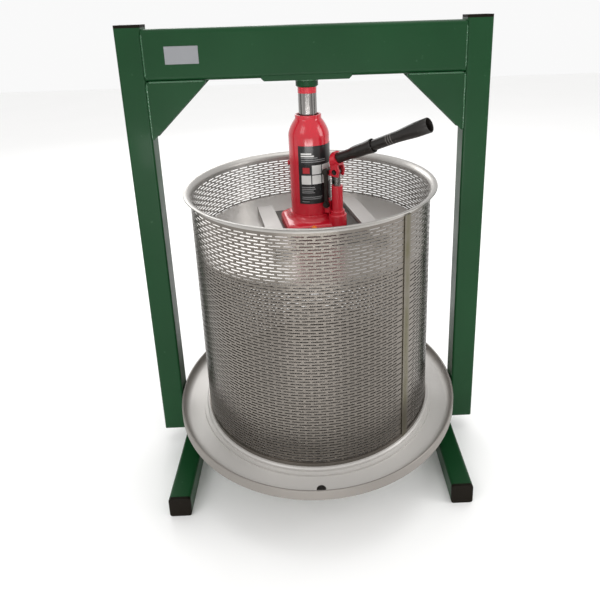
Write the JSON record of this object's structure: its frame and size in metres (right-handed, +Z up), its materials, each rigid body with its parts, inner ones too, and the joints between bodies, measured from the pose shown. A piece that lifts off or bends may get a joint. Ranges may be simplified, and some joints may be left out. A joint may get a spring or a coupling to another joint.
{
  "type": "hydraulic fruit press",
  "caption": "Hydraulic fruit press with a welded portal frame, slotted round basket, juice tray and a hand-pumped bottle jack that drives a round press plate.",
  "frame": {"origin": "on the floor, on the common upright axis of basket, press plate and jack", "axes": "+Z up, the front with the tray's drain faces -Y, uprights left and right along X"},
  "size_m": [0.662, 0.568, 0.879],
  "materials": {
    "green_paint": "gloss paint",
    "rating_plate": "satin",
    "black_plastic": "moulded",
    "stainless": "brushed",
    "dark_steel": "oiled",
    "red_paint": "gloss paint",
    "jack_label": "printed foil, left blank",
    "orange_paint": "gloss paint",
    "chrome": "polished",
    "seal_rubber": "matt",
    "handle_black": "satin paint"
  },
  "bodies": {
    "frame": {"upright_left": "green_paint", "upright_right": "green_paint", "top_beam": "green_paint", "corner_gussets": "green_paint", "beam_strip": "green_paint", "ram_boss": "green_paint", "rating_plate": "rating_plate", "upright_caps": "black_plastic", "foot_left": "green_paint", "foot_right": "green_paint", "foot_caps": "black_plastic", "lower_tie": "green_paint", "tray_arms": "green_paint", "tray_pan": "stainless", "base_plate": "stainless", "drain_spout": "stainless"},
    "basket": {"basket_shell": "stainless", "basket_rim": "stainless", "basket_hoop": "stainless", "basket_seam": "stainless"},
    "press_head": {"press_plate": "stainless", "plate_bars": "stainless", "jack_pad": "dark_steel", "jack_base": "red_paint", "reservoir": "red_paint", "gland_bush": "dark_steel", "cylinder_tube": "dark_steel", "jack_label": "jack_label", "filler_plug": "red_paint", "pump_barrel": "red_paint", "link_plates": "dark_steel", "link_pins": "dark_steel"},
    "valve": {"release_valve": "orange_paint"},
    "ram": {"ram_rod": "chrome", "ram_piston": "dark_steel", "piston_seal": "seal_rubber", "ram_saddle": "red_paint"},
    "plunger": {"pump_plunger": "chrome", "plunger_pin": "dark_steel"},
    "handle": {"handle_socket": "red_paint", "handle_inner": "handle_black"},
    "handle_end": {"handle_outer": "handle_black"}
  },
  "joints": [
    {"name": "basket_lift", "type": "slide", "parent": "frame", "child": "basket", "axis": [0, 0, 1], "range_m": [0, 0.04]},
    {"name": "plate_travel", "type": "slide", "parent": "frame", "child": "press_head", "axis": [0, 0, -1], "range_m": [-0.037, 0.1]},
    {"name": "ram_extend", "type": "slide", "parent": "press_head", "child": "ram", "axis": [0, 0, 1], "range_m": [-0.038, 0.101]},
    {"name": "handle_pump", "type": "hinge", "parent": "press_head", "child": "handle", "pos_m": [0.03681, -0.02674, 0.6082], "axis": [-0.5878, -0.809, 0], "range_deg": [-24, 20]},
    {"name": "plunger_stroke", "type": "slide", "parent": "press_head", "child": "plunger", "axis": [0, 0, 1], "range_m": [-0.0065, 0.0055]},
    {"name": "handle_pull", "type": "slide", "parent": "handle", "child": "handle_end", "axis": [0.7391, -0.537, 0.4067], "range_m": [0, 0.03]},
    {"name": "valve_turn", "type": "hinge", "parent": "press_head", "child": "valve", "pos_m": [0.00382, -0.05644, 0.5007], "axis": [0.2079, -0.9781, 0], "range_deg": [0, 270]}
  ],
  "couplings": [
    {"joint": "ram_extend", "follows": "plate_travel", "ratio": 1},
    {"joint": "plunger_stroke", "follows": "handle_pump", "m_per_rad": 0.015}
  ]
}
